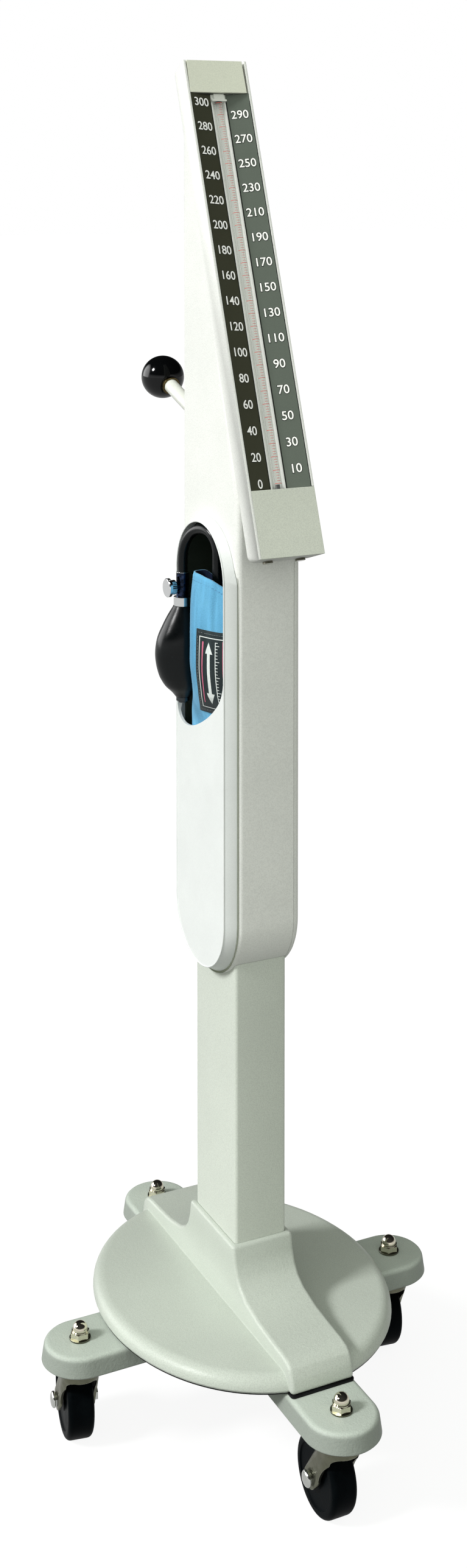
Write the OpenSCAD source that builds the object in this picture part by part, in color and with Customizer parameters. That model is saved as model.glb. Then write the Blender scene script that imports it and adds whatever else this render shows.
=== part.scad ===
// Mobile mercury-column sphygmomanometer on a four-wheeled stand.
// Millimetres. +Z is up, the scale faces -Y, the cuff pocket is on the -X side,
// and the origin is on the floor under the middle of the column.

/* [Base] */
// Half width of the oval base plate, along X
plate_rx = 116; // [112:1:120]
// Half length of the oval base plate, along Y
plate_ry = 139; // [136:1:142]
// Height of the top of the base plate above the floor
plate_z1 = 103.5; // [103:0.5:106]
// Half width of the ridge and collar that carry the column
ridge_hw = 26.5; // [26:0.5:28]

/* [Legs] */
// Distance from the column axis to the left and right casters
leg_x = 139.5; // [136:0.5:143]
// Distance from the column axis to the front and back casters
leg_y = 168.5; // [165:0.5:172]
// Radius of a leg's round end at its foot
leg_end_r = 30; // [28:0.5:32]

/* [Casters] */
// Wheel diameter
wheel_d = 60; // [58:1:60]
// Wheel width across the tread
wheel_w = 21; // [18:1:22]
// Distance from the swivel axis to the wheel axle
trail = 22; // [21:1:24]
// Caster headings at rest, clockwise from +Y seen from above: front, right, back, left
caster_turn = [0, 8, 174, 10]; // [0:1:360]

/* [Column] */
// Column width, along X
col_w = 45; // [44:0.5:45]
// Column depth, along Y
col_d = 73; // [72:0.5:74]
// Height of the seam between column and collar
seam_z = 154.5; // [153:0.5:156]

/* [Housing] */
// Half width of the housing, along X
house_hw = 28; // [28:0.5:29]
// Height of the centre of the pocket cover's upper arch
arch_z = 680; // [678:1:682]
// Distance that the pocket cover stands out from the column axis
cover_x = 36; // [36:0.5:38]

/* [Scale head] */
// Outer diameter of the glass tube
tube_d = 7; // [6.6:0.1:7]
// Bore of the glass tube
tube_bore = 4; // [3.6:0.2:4.4]

/* [Handle] */
// Diameter of the push handle's rod
rod_d = 12; // [11:0.5:13]
// Diameter of the ball knob
ball_d = 37; // [35:1:40]
// Upward slope of the rod, in degrees
rod_rise = 19; // [17:1:21]

/* [Cuff and bulb] */
// Thickness of the rolled cuff's cloth
cloth_t = 3; // [2.6:0.2:3]
// Outer diameter of the rubber hose
hose_d = 8; // [7:0.5:8]
// Diameter of the release valve's thumb knob
knob_d = 15.2; // [14:0.2:16]

/* [Hidden] */
// Gap between parts that fit into each other, and between a shaft and its bore.
seat = 0.1;
running = 0.05;
small_fn = 32;
side_fn = 64;

wheel_r = wheel_d / 2;
caster_at = [[0, -leg_y], [leg_x, 0], [0, leg_y], [-leg_x, 0]];
leg_z0 = 74.5;
leg_z1 = 90;
plate_z0 = 91.5;
column_z0 = 98;
column_z1 = 470;
foot_t = 8;
bolt_y = 22;
bolt_r = 4;
bolt_recess = 6;
stem_r = 5;
race_z = 69.5;
crown_z = [61.8, 65.6];
fork_gap = wheel_w / 2 + 1.7;
fork_t = 2.6;
axle_r = 4;
axle_hw = fork_gap + fork_t;
pillar_at = [[-38, 490], [38, 490], [0, 810], [38, 930]];
column_screw_at = [[-20, 440], [20, 440], [-20, 460], [20, 460]];

function arc(cx, cy, r, a0, a1, n) = [for (i = [0:n]) let (a = a0 + (a1 - a0) * i / n) [cx + r * cos(a),
    cy + r * sin(a)]];

function round_rect(w, d, r) = concat(arc(w / 2 - r, d / 2 - r, r, 0, 90, 5), arc(r - w / 2, d / 2 - r, r,
    90, 180, 5),
    arc(r - w / 2, r - d / 2, r, 180, 270, 5), arc(w / 2 - r, r - d / 2, r, 270, 360, 5));

function stadium(r, z_low, z_high) = concat(arc(0, z_high, r, 0, 180, 24), arc(0, z_low, r, 180, 360, 24));

function oval(a, b) = [for (i = [0:4:356]) [a * cos(i), b * sin(i)]];

// Draws a profile given in Y and Z as a slab between two values of X.
module slab_x(x0, x1, points) translate([x0, 0, 0]) rotate([90, 0, 90]) linear_extrude(x1 - x0)
    polygon(points);

// Places a caster's own frame, which has the wheel behind the swivel axis along +Y.
module at_caster(i) translate([caster_at[i].x, caster_at[i].y, 0]) rotate([0, 0, -caster_turn[i]]) children();

// Base

// Oval plate whose upper edge is rolled over by a quarter circle.
module rolled_plate() {
    edge_r = 10;
    steps = 6;
    hull() {
        translate([0, 0, plate_z0]) linear_extrude(0.5) polygon(oval(plate_rx - 1, plate_ry - 1));
        for (i = [0:steps]) {
            a = 90 * i / steps;
            inset = edge_r * (1 - cos(a));
            top = plate_z1 - edge_r + edge_r * sin(a);
            translate([0, 0, top - 0.5]) linear_extrude(0.5)
                polygon(oval(plate_rx - inset, plate_ry - inset));
        }
    }
}

// Outline of one side of the ridge in Y and Z, from the collar out to the foot.
ridge_side = [[40.5, seam_z], [42.5, 143], [46.5, 133], [52.5, 126.5], [62, 121.5], [82, 117], [105, 115],
    [122, 114], [131, 112.6], [136.5, 109], [139.5, 102], [141.5, plate_z0]];
ridge_edge = 3;

// Ridge with every outer edge rounded.
module ridge() minkowski() {
    rotate([90, 0, 90]) linear_extrude(2 * (ridge_hw - ridge_edge), center = true) offset(delta = -ridge_edge)
        polygon(concat(ridge_side, [for (i = [len(ridge_side) - 1:-1:0]) [-ridge_side[i].x,
            ridge_side[i].y]]));
    sphere(ridge_edge, $fn = 16);
}

module base_cover() color("#c9cdbd") difference() {
    union() {
        rolled_plate();
        ridge();
    }
    translate([0, 0, column_z0]) linear_extrude(seam_z)
        polygon(round_rect(col_w + 2 * seat, col_d + 2 * seat, 3));
    for (s = [-1, 1]) translate([0, s * bolt_y, plate_z0 - 5])
        cylinder(r = bolt_r + seat, h = 20, $fn = small_fn);
}

// Leg pair along Y with drafted sides and a rolled upper edge.
module leg_pair(reach) hull() for (s = [-1, 1]) translate([0, s * reach, leg_z0]) {
    leg_h = leg_z1 - leg_z0;
    roll_r = 4.5;
    side_r = leg_end_r - 1.5;
    cylinder(r = leg_end_r - 1, h = 1, $fn = side_fn);
    translate([0, 0, 1]) cylinder(r1 = leg_end_r, r2 = side_r, h = leg_h - roll_r - 1, $fn = side_fn);
    for (a = [18:18:90]) cylinder(r = side_r - roll_r * (1 - cos(a)), h = leg_h - roll_r * (1 - sin(a)),
        $fn = side_fn);
}

module leg_frame() color("#c3c8b8") {
    hub_r = 58;
    pad_r = 45;
    difference() {
        union() {
            leg_pair(leg_y);
            rotate([0, 0, 90]) leg_pair(leg_x);
            translate([0, 0, leg_z0]) cylinder(r = hub_r, h = leg_z1 - leg_z0, $fn = side_fn);
            translate([0, 0, leg_z0]) cylinder(r = pad_r, h = plate_z0 - leg_z0, $fn = side_fn);
        }
        for (p = caster_at) translate([p.x, p.y, leg_z0 - 1])
            cylinder(r = stem_r + seat, h = 20, $fn = small_fn);
        for (s = [-1, 1]) translate([0, s * bolt_y, leg_z0 - 1]) {
            cylinder(r = bolt_r + seat, h = 20, $fn = small_fn);
            cylinder(r = 8, h = 1 + bolt_recess, $fn = small_fn);
        }
    }
}

// Bolts up through the leg frame and the base into the column's foot.
module base_bolts() color("#8d9094") for (s = [-1, 1]) translate([0, s * bolt_y, leg_z0 + bolt_recess]) {
    head_t = 5;
    translate([0, 0, -head_t]) cylinder(r = 6.5, h = head_t, $fn = 6);
    translate([0, 0, -1]) cylinder(r = bolt_r, h = column_z0 + foot_t - leg_z0 - bolt_recess, $fn = small_fn);
}

// Casters

// Stem with its upper race plate, and the riveted head that holds the fork up.
module caster_stems() color("#b9bcbe") for (p = caster_at) translate([p.x, p.y, 0]) {
    rivet_z = crown_z[0] - 3.2;
    translate([0, 0, race_z]) cylinder(r = 14, h = leg_z0 - race_z, $fn = side_fn);
    translate([0, 0, rivet_z]) cylinder(r = stem_r, h = leg_z1 + 8 - rivet_z, $fn = small_fn);
    translate([0, 0, rivet_z]) cylinder(r = 7.5, h = 2.9, $fn = small_fn);
}

module swivel_bearings() color("#8f9396") for (p = caster_at) translate([p.x, p.y, crown_z[1] + 0.3])
    difference() {
    cylinder(r = 12.6, h = race_z - crown_z[1] - 0.3, $fn = side_fn);
    translate([0, 0, -1]) cylinder(r = stem_r + seat, h = 8, $fn = small_fn);
}

washer_t = 1.2;

module stem_washers() color("#c4c6c8") for (p = caster_at) translate([p.x, p.y, leg_z1]) difference() {
    cylinder(r = 8.4, h = washer_t, $fn = small_fn);
    translate([0, 0, -1]) cylinder(r = stem_r + seat, h = 4, $fn = small_fn);
}

// Hexagon acorn nuts with a domed cap, bored from below for the stem.
module acorn_nuts() color("#cfd1d3") for (p = caster_at) translate([p.x, p.y, leg_z1 + washer_t])
    difference() {
    hex_h = 4.6;
    dome_r = 5.9;
    dome_z = 6.6;
    union() {
        cylinder(r = 7.8, h = hex_h, $fn = 6);
        cylinder(r = dome_r + 0.7, h = hex_h + 0.9, $fn = small_fn);
        cylinder(r = dome_r, h = dome_z, $fn = small_fn);
        translate([0, 0, dome_z]) sphere(dome_r, $fn = small_fn);
    }
    translate([0, 0, -8]) cylinder(r = 9, h = 8, $fn = small_fn);
    translate([0, 0, -1]) cylinder(r = stem_r + running, h = 8.2, $fn = small_fn);
}

// Room for the wheel between the fork's cheeks, rounded in its upper corners.
module fork_room() {
    corner = 6;
    hull() {
        translate([-fork_gap, -30, -1]) cube([2 * fork_gap, 90, 30]);
        for (s = [-1, 1]) translate([s * (fork_gap - corner), -30, crown_z[0] - corner]) rotate([-90, 0, 0])
            cylinder(r = corner, h = 90, $fn = small_fn);
    }
}

// Pressed fork: a round crown, two swept cheeks and the axle holes in their tips.
module caster_fork() color("#b4b7ba") difference() {
    tip_r = 8;
    sweep_r = 44.2;
    sweep_at = [-32, 19];
    hull() {
        translate([0, 0, crown_z[0]]) cylinder(r = 15, h = crown_z[1] - crown_z[0], $fn = small_fn);
        translate([-axle_hw, trail, wheel_r]) rotate([0, 90, 0])
            cylinder(r = tip_r, h = 2 * axle_hw, $fn = small_fn);
    }
    fork_room();
    translate([-40, sweep_at.x, sweep_at.y]) rotate([0, 90, 0]) cylinder(r = sweep_r, h = 80, $fn = side_fn);
    translate([-40, trail, wheel_r]) rotate([0, 90, 0])
        cylinder(r = axle_r + running, h = 80, $fn = small_fn);
    cylinder(r = stem_r + running, h = 90, $fn = small_fn);
}

// Axle bolt: a domed head over its washer on the left, the shaft, and a thin lock nut on the right.
module caster_axle() color("#c2c5c8") translate([0, trail, wheel_r]) rotate([0, -90, 0]) {
    nut_t = 2.8;
    head = [[0, 0], [5.2, 0], [5.2, 1.1], [4.4, 1.1], [4.4, 1.5], [5.9, 1.5], [6.2, 2], [6.1, 2.7], [5.5,
        3.5],
        [4.4, 4.1], [2.6, 4.5], [0, 4.6]];
    translate([0, 0, -axle_hw - nut_t]) cylinder(r = axle_r, h = 2 * axle_hw + nut_t + 2, $fn = small_fn);
    translate([0, 0, axle_hw + seat]) rotate_extrude($fn = small_fn) polygon(head);
    translate([0, 0, -axle_hw - seat - nut_t]) cylinder(r = 5.8, h = nut_t, $fn = 6);
}

// Half outline of the wheel in radius and width: hub, shallow face, rounded shoulder.
function wheel_half(hw, edge) = concat([[axle_r + running, 0], [axle_r + running, hw], [8.5, hw], [9.5,
    hw - 0.9],
    [wheel_r - 7.2, hw - 0.9], [wheel_r - 6.4, hw]], arc(wheel_r - edge, hw - edge, edge, 90, 0, 6));

// Solid wheel with rounded shoulders, nearly flat faces and a hub that is flush with the tread's sides.
module caster_wheel() color("#17181a") translate([0, trail, wheel_r]) rotate([0, 90, 0]) {
    half = wheel_half(wheel_w / 2, 4);
    rotate_extrude($fn = 96) polygon(concat(half, [for (i = [len(half) - 1:-1:1]) [half[i].x, -half[i].y]]));
}

module caster_fork_front() at_caster(0) caster_fork();
module caster_fork_right() at_caster(1) caster_fork();
module caster_fork_back() at_caster(2) caster_fork();
module caster_fork_left() at_caster(3) caster_fork();
module axle_front() at_caster(0) caster_axle();
module axle_right() at_caster(1) caster_axle();
module axle_back() at_caster(2) caster_axle();
module axle_left() at_caster(3) caster_axle();
module wheel_front() at_caster(0) caster_wheel();
module wheel_right() at_caster(1) caster_wheel();
module wheel_back() at_caster(2) caster_wheel();
module wheel_left() at_caster(3) caster_wheel();

// Column

column_wall = 2;

module column_tube() color("#c6cabc") difference() {
    translate([0, 0, column_z0]) linear_extrude(column_z1 - column_z0) polygon(round_rect(col_w, col_d, 3));
    translate([0, 0, column_z0 + foot_t]) linear_extrude(column_z1)
        polygon(round_rect(col_w - 2 * column_wall, col_d - 2 * column_wall, 1.5));
    for (s = [-1, 1]) translate([0, s * bolt_y, column_z0 - 1])
        cylinder(r = bolt_r + running, h = 20, $fn = small_fn);
    for (p = column_screw_at) translate([-col_w, p.x, p.y]) rotate([0, 90, 0])
        cylinder(r = 2 + running, h = col_w, $fn = small_fn);
}

wall = 2.2;

// Packing plates between the column and the side walls of the housing.
module column_pads() color("#6d7072") difference() {
    pad_x0 = col_w / 2 + seat;
    pad_t = house_hw - wall - 2 * seat - col_w / 2;
    for (x = [-pad_x0 - pad_t, pad_x0]) translate([x, -30, 430]) cube([pad_t, 60, 38]);
    for (p = column_screw_at) translate([-house_hw, p.x, p.y]) rotate([0, 90, 0])
        cylinder(r = 2.1, h = house_hw, $fn = small_fn);
}

// Screws through the left wall and its packing plate into the column, hidden by the pocket cover.
module column_screws() color("#b0b3b5") for (p = column_screw_at) translate([-house_hw - seat, p.x, p.y])
    rotate([0, 90, 0]) {
    translate([0, 0, -1]) cylinder(r = 2, h = 12, $fn = small_fn);
    translate([0, 0, -2.2]) cylinder(r = 4, h = 2.2, $fn = small_fn);
}

// Housing: a narrow upright case with a half-round lower end, and the leaning scale head.

house_hd = 50.5;
house_z0 = 413;
corner_r = 6;
lean = 19.7;
head_len = 405;
head_t = 24.5;
head_y = 89.5;
head_z = 709;
insert_hw = 26.1;
cap_s = 377.3;
plate_s = 52.4;

// Places the head's own frame: x across, y into the head, z up along the scale.
module in_head() translate([0, -head_y, head_z]) rotate([-lean, 0, 0]) children();

// Height at which the inner face of the head's back wall passes over a given Y.
function under_head(y) = head_z + (y + head_y - (head_t - wall) * cos(lean)) / tan(lean) - (head_t - wall) * sin(lean);

// Outside of the upright case, with all its upright edges rounded.
module case_form(grow) hull() for (sx = [-1, 1]) {
    x = sx * (house_hw - corner_r);
    translate([x, 0, house_z0]) rotate([0, 90, 0]) rotate_extrude($fn = side_fn)
        translate([house_hd - corner_r, 0]) circle(corner_r + grow, $fn = 24);
    for (sy = [-1, 1]) translate([x, sy * (house_hd - corner_r), house_z0])
        cylinder(r = corner_r + grow, h = under_head(sy * house_hd) - house_z0, $fn = 24);
}

module head_form() in_head() hull() {
    translate([-house_hw, 0, 0]) cube([2 * house_hw, 1, head_len]);
    for (sx = [-1, 1], z = [corner_r, head_len - corner_r])
        translate([sx * (house_hw - corner_r), head_t - corner_r, z]) sphere(corner_r, $fn = 24);
}

// Room inside the upright case, bounded above by the head's back wall.
module case_room() {
    hd = house_hd - wall;
    intersection() {
        slab_x(wall - house_hw, house_hw - wall,
            concat(arc(0, house_z0, hd, 180, 360, 24), [[hd, under_head(hd)], [-hd, under_head(-hd)]]));
        linear_extrude(1200) polygon(round_rect(2 * (house_hw - wall), 2 * hd, corner_r - wall));
    }
}

// Room inside the head, the seats of its cap and lower plate, and the open slot beside the cap.
module head_room() in_head() {
    hw = insert_hw + seat;
    translate([-hw, -1, 2]) cube([2 * hw, head_t - wall + 1, head_len - wall - 2]);
    translate([-hw, -1, cap_s - 1]) cube([2 * hw, 3 + seat, 40]);
    translate([24.2, -1, cap_s]) cube([hw - 24.2, 12, 40]);
    translate([-hw, -1, -1]) cube([60, 3 + seat, plate_s + 1]);
}

rod_z = 788;
rod_len = 100;
ball_at = 108;
socket_r = 8;

// Axis of the push handle, from the back of the case.
module on_rod() translate([0, house_hd, rod_z]) rotate([rod_rise - 90, 0, 0]) children();

head_screw_x = 14;
head_screw_t = 15;

// Outline of the pocket in Y and Z: an arch above and a square foot with rounded corners.
function pocket_outline(hw, z0) = concat(arc(0, arch_z, hw, 0, 180, 24), arc(5 - hw, z0 + 5, 5, 180, 270, 4),
    arc(hw - 5, z0 + 5, 5, 270, 360, 4));

liner_hw = 45.3;
liner_z0 = 543;
liner_t = 1.6;

module housing_shell() difference() {
    union() {
        case_form(0);
        head_form();
    }
    case_room();
    head_room();
    slab_x(-house_hw - 1, -house_hw + wall + 1, pocket_outline(liner_hw + seat, liner_z0 - seat));
    translate([0, 0, house_z0 - house_hd - 5]) linear_extrude(60)
        polygon(round_rect(col_w + 2 * seat, col_d + 2 * seat, 3));
    for (p = column_screw_at) translate([-house_hw - 1, p.x, p.y]) rotate([0, 90, 0])
        cylinder(r = 2.2, h = 5, $fn = small_fn);
    for (p = pillar_at) translate([house_hw - 5, p.x, p.y]) rotate([0, 90, 0])
        cylinder(r = 1.7, h = 10, $fn = small_fn);
    in_head() for (s = [-1, 1]) translate([s * head_screw_x, head_screw_t, -1])
        cylinder(r = 2.1, h = 6, $fn = small_fn);
    on_rod() translate([0, 0, -20]) cylinder(r = socket_r + seat, h = 40, $fn = small_fn);
}

split_x = 22;

// Main shell with four pillars that reach across to the side cover.
module housing_body() color("#c9cdc0") difference() {
    union() {
        intersection() {
            housing_shell();
            translate([-60, -200, 300]) cube([60 + split_x - seat, 400, 900]);
        }
        for (p = pillar_at) translate([wall - house_hw - 1, p.x, p.y]) rotate([0, 90, 0])
            cylinder(r = 4.5, h = 2 * (house_hw - wall) + 1 - seat, $fn = small_fn);
    }
    for (p = pillar_at) translate([10, p.x, p.y]) rotate([0, 90, 0])
        cylinder(r = 1.5 + running, h = 30, $fn = small_fn);
}

module housing_side_cover() color("#d6d9cd") intersection() {
    housing_shell();
    translate([split_x + seat, -200, 300]) cube([60, 400, 900]);
}

module cover_screws() color("#a9acad") for (p = pillar_at) translate([house_hw + seat, p.x, p.y])
    rotate([0, 90, 0]) {
    translate([0, 0, -14]) cylinder(r = 1.5, h = 14.5, $fn = small_fn);
    cylinder(r = 3.4, h = 1.6, $fn = small_fn);
}

// Pocket cover: a raised panel with a sloped rim that laps the case's rounded edges, and a tall mouth.

rim_x = 26.2;
rim_r = 49;
face_r = 44;
mouth_r = 43.4;
// Lower edge of the mouth in Y and Z, from the front to the back
mouth_low = [[-mouth_r, 614], [-42.6, 602.5], [-39.8, 594], [-35, 587], [-28, 580.4], [-18, 573], [-6,
    566], [6, 560.4],
    [16, 557], [25, 555.6], [32, 556.2], [37.6, 559], [41.2, 563.8], [42.9, 570.5], [mouth_r, 578]];

// Points on a smooth curve through a list of points, n to a stretch.
function spline(p, n) = let (m = len(p) - 1) [for (i = [0:m - 1], k = [0:n - 1]) let (t = k / n,
    a = p[max(i - 1, 0)],
    b = p[i], c = p[i + 1], d = p[min(i + 2, m)])
    0.5 * (2 * b + (c - a) * t + (2 * a - 5 * b + 4 * c - d) * t * t + (3 * b - a - 3 * c + d) * t * t * t)];

module cover_form(inset) hull() {
    slab_x(-rim_x - 0.02, -rim_x, stadium(rim_r - inset, house_z0, arch_z));
    slab_x(inset - cover_x, inset - cover_x + 0.02, stadium(face_r - inset, house_z0, arch_z));
}

module pocket_cover() color("#d9dccf") difference() {
    cover_form(0);
    cover_form(2.6);
    case_form(seat);
    slab_x(-cover_x - 1, -house_hw, concat(arc(0, arch_z, mouth_r, 0, 180, 32), spline(mouth_low, 3)));
}

// Dark box inside the housing that holds the cuff, with a tab above and below that lies behind the wall.
module pocket_liner() color("#23241f") difference() {
    union() {
        slab_x(-house_hw, 18, pocket_outline(liner_hw, liner_z0));
        slab_x(wall - house_hw + seat, wall - house_hw + seat + 1.5, [[-20, 538], [20, 538], [20, 730],
            [-20, 730]]);
    }
    slab_x(-house_hw - 1, 18 - liner_t, pocket_outline(liner_hw - liner_t, liner_z0 + liner_t));
}

// Scale head

module scale_cap() color("#c9cbb4") in_head() translate([0, 2, cap_s]) rotate([90, 0, 0]) linear_extrude(2)
    polygon([[-26, 0], [24.4, 0], [24, head_len - cap_s], [-25.2, head_len - cap_s]]);

module lower_plate() color("#c9cbb4") in_head() translate([-insert_hw, 0, 0])
    cube([insert_hw + house_hw, 2, plate_s - 0.2]);

tube_t = 6.3;
channel_hw = 6.5;
scale_s = [plate_s + 0.2, cap_s - 0.2];

// One sloping half of the scale, from the outer wall in to the tube channel.
module scale_panel(side) in_head() translate([0, 0, scale_s[0]]) linear_extrude(scale_s[1] - scale_s[0])
    polygon([[side * insert_hw, 0.5], [side * (channel_hw + seat), 5.5], [side * (channel_hw + seat), 7.1],
        [side * insert_hw, 2.1]]);

module scale_panel_left() color("#3a3c2c") scale_panel(-1);
module scale_panel_right() color("#5d6a5c") scale_panel(1);

clip_s = 371;

module tube_channel() color("#e4e7e0") in_head() translate([0, 0, scale_s[0]])
    linear_extrude(clip_s - scale_s[0] - seat)
    polygon([[-channel_hw, 5.5], [1.2 - channel_hw, 5.5], [1.2 - channel_hw, 10], [channel_hw - 1.2, 10],
        [channel_hw - 1.2, 5.5], [channel_hw, 5.5], [channel_hw, 11.2], [-channel_hw, 11.2]]);

well_t = 12.4;
well_r = 9.7;
lid_s = 42;
tube_s = [46, 376];

module glass_tube() color("#e8f2f2") in_head() translate([0, tube_t, tube_s[0]]) difference() {
    cylinder(d = tube_d, h = tube_s[1] - tube_s[0], $fn = small_fn);
    translate([0, 0, -1]) cylinder(d = tube_bore, h = 400, $fn = small_fn);
}

// Mercury at rest: the pool in the well and the short thread that stands just under the zero mark.
module mercury() color("#9ea3a8") in_head() {
    translate([0, well_t, 6 + seat]) cylinder(r = 7.9, h = 24, $fn = small_fn);
    translate([0, tube_t, tube_s[0] + 0.5]) cylinder(d = tube_bore - 2 * running, h = 9.9, $fn = small_fn);
}

module mercury_reservoir() color("#3c3e40") in_head() translate([0, well_t, 4]) difference() {
    cylinder(r = well_r, h = lid_s - 4, $fn = small_fn);
    translate([0, 0, 2]) cylinder(r = 8, h = 60, $fn = small_fn);
}

module reservoir_lid() color("#55585a") in_head() difference() {
    translate([0, well_t, lid_s]) cylinder(r = well_r, h = tube_s[0] - lid_s, $fn = small_fn);
    translate([0, tube_t, lid_s - 1]) cylinder(r = 1.6, h = 10, $fn = small_fn);
    translate([0, well_t + 5, lid_s - 1]) cylinder(r = 1.6, h = 10, $fn = small_fn);
}

module reservoir_bracket() color("#7b7f80") in_head() difference() {
    translate([-20, 4, 2]) cube([40, 18, 2]);
    for (s = [-1, 1]) translate([s * head_screw_x, head_screw_t, 1])
        cylinder(r = 2 + running, h = 6, $fn = small_fn);
}

// Barbed inlet on the well's lid, for the cuff's pressure.
module hose_barb() color("#b8a266") in_head() translate([0, well_t + 5, tube_s[0]]) difference() {
    union() {
        cylinder(r = 3.6, h = 3, $fn = small_fn);
        cylinder(r = 2.4, h = 12, $fn = small_fn);
        for (z = [5, 8]) translate([0, 0, z]) cylinder(r1 = 3.3, r2 = 2.5, h = 2.4, $fn = small_fn);
    }
    translate([0, 0, -1]) cylinder(r = 1.2, h = 20, $fn = small_fn);
}

module tube_gland() color("#1c1d1e") in_head() translate([0, tube_t, tube_s[0]]) difference() {
    cylinder(r = 4.15, h = 6, $fn = small_fn);
    translate([0, 0, -1]) cylinder(r = tube_d / 2 + running, h = 10, $fn = small_fn);
}

// Metal block that holds the tube's upper end.
module tube_clip() color("#b9bdbf") in_head() difference() {
    translate([-channel_hw, 2.6, clip_s]) cube([2 * channel_hw, 8.6, cap_s - clip_s - 0.3]);
    translate([0, tube_t, clip_s - 1]) cylinder(r = tube_d / 2 + running, h = 6.2, $fn = small_fn);
    translate([-9, 2, clip_s + 1.5]) cube([4.4, 2.6, 10]);
    translate([4.6, 2, clip_s + 1.5]) cube([4.4, 2.6, 10]);
}

module head_screws() color("#c9ccce") in_head() for (s = [-1, 1])
    translate([s * head_screw_x, head_screw_t, 0]) {
    cylinder(r = 2, h = 7, $fn = small_fn);
    translate([0, 0, -1.8]) cylinder(r = 4, h = 1.8 - seat, $fn = small_fn);
    translate([0, 0, -1]) cylinder(r = 2, h = 2, $fn = small_fn);
}

// Handle

module handle_socket() color("#c6cabc") on_rod() difference() {
    union() {
        translate([0, 0, -12]) cylinder(r = socket_r, h = 20, $fn = side_fn);
        translate([0, 0, 5.2]) cylinder(r = 11, h = 5, $fn = side_fn);
    }
    translate([0, 0, -10]) cylinder(d = rod_d + 2 * seat, h = 60, $fn = side_fn);
}

module handle_rod() color("#d9dcd2") on_rod() translate([0, 0, -9.9])
    cylinder(d = rod_d, h = rod_len + 9.9, $fn = side_fn);

flat_at = 16.4;

module handle_ferrule() color("#b9a468") on_rod() translate([0, 0, ball_at - flat_at - 2.5]) difference() {
    cylinder(d = rod_d + 3.4, h = 2.5, $fn = side_fn);
    translate([0, 0, -1]) cylinder(d = rod_d + 2 * seat, h = 9, $fn = side_fn);
}

// Ball with a small flat where the ferrule meets it, and a blind hole for the rod.
module ball_knob() color("#101113") on_rod() translate([0, 0, ball_at]) difference() {
    sphere(d = ball_d, $fn = 96);
    translate([0, 0, -flat_at - 20]) cylinder(r = 30, h = 20, $fn = side_fn);
    translate([0, 0, -30]) cylinder(d = rod_d + 2 * seat, h = 30 + rod_len - ball_at + seat, $fn = side_fn);
}

// Cuff: a strip of cloth rolled up and stood in the pocket, its broad side turned out.

// Rows of the roll: height, centre X, centre Y, half thickness, half width, turn in plan.
cuff_rows = [[545.5, -20.2, -3, 12, 36, 12], [560, -20.3, -4, 12, 35.5, 13], [574, -22.2, -9, 12.3, 33, 18],
    [590, -26.3, -15.6, 15.3, 28.2, 20], [612, -28.5, -16.5, 16.5, 28, 20], [648, -28.5, -16.5, 16.5, 28, 20],
    [668, -27.7, -16.3, 16, 27.6, 20], [684, -26.5, -16, 15.5, 27, 20]];
roll_square = 0.77;
roll_start = 150;
roll_turns = 1.6;
roll_pitch = cloth_t + 0.8;
roll_step = 360 / 26;

function row_at(z) = [for (k = [1:5]) lookup(z, [for (r = cuff_rows) [r[0], r[k]]])];
function bent(v) = sign(v) * pow(abs(v), roll_square);

// Point of the roll at height z and angle a, a given depth under its outer skin.
function roll_point(z, a, depth) = let (r = row_at(z), u = (r[2] - depth) * bent(cos(a)),
    v = (r[3] - depth) * bent(sin(a)))
    [r[0] - u * cos(r[4]) - v * sin(r[4]), r[1] - u * sin(r[4]) + v * cos(r[4]), z];

// Closed strip of cloth through the rows of points, capped at both ends.
module cloth(rings) {
    n = len(rings[0]);
    m = len(rings);
    polyhedron([for (ring = rings) each ring], concat([[for (i = [0:n - 1]) i]],
        [[for (i = [n - 1:-1:0]) (m - 1) * n + i]],
        [for (k = [0:m - 2], i = [0:n - 1]) let (j = (i + 1) % n) [k * n + i, (k + 1) * n + i,
            (k + 1) * n + j]],
        [for (k = [0:m - 2], i = [0:n - 1]) let (j = (i + 1) % n) [k * n + i, (k + 1) * n + j, k * n + j]]));
}

roll_n = ceil(roll_turns * 360 / roll_step);

function roll_ring(z) = concat(
    [for (i = [0:roll_n]) roll_point(z, roll_start + i * roll_step,
        roll_pitch * i * roll_step / 360 + cloth_t)],
    [for (i = [roll_n:-1:0]) roll_point(z, roll_start + i * roll_step, roll_pitch * i * roll_step / 360)]);

module cuff() color("#3f9bdc") cloth([for (k = [len(cuff_rows) - 1:-1:0]) roll_ring(cuff_rows[k][0])]);

// Sewn patch on the outward face of the roll.
label_turn = [377, 310];
label_z = [574, 590, 612, 643];

function label_ring(z) = concat(
    [for (i = [0:8]) let (a = label_turn[0] + (label_turn[1] - label_turn[0]) * i / 8)
        roll_point(z, a, roll_pitch * (a - roll_start) / 360 - 0.9)],
    [for (i = [8:-1:0]) let (a = label_turn[0] + (label_turn[1] - label_turn[0]) * i / 8)
        roll_point(z, a, roll_pitch * (a - roll_start) / 360 - 0.1)]);

module cuff_label() color("#1b1c1e") cloth([for (z = label_z) label_ring(z)]);

// Folded end of the bladder inside the roll, with the port that takes the hose.
cuff_port = [-27.5, -15];

module cuff_bladder() color("#1d1e20") translate([cuff_port.x, cuff_port.y, 0]) {
    translate([0, 0, 628]) rotate([0, 0, 20]) linear_extrude(44) polygon(round_rect(6, 12, 2.5));
    translate([0, 0, 672]) cylinder(r = hose_d / 2 + 0.6, h = 4, $fn = small_fn);
}

// Bulb, squeezed a little between the roll and the edge of the mouth

bulb_at = [-39, 25.5];
bulb_rows = [[579, 5.8], [583, 9], [588, 14], [593, 17.2], [598, 19.4], [607, 21.6], [617, 22.2], [628,
    20.4], [638, 16],
    [644, 12.9], [648, 10.5], [651, 8.6], [653, 7.5]];

function squeeze(r) = r < 7 ? 0 : (r - 7) / 15.2;

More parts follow.
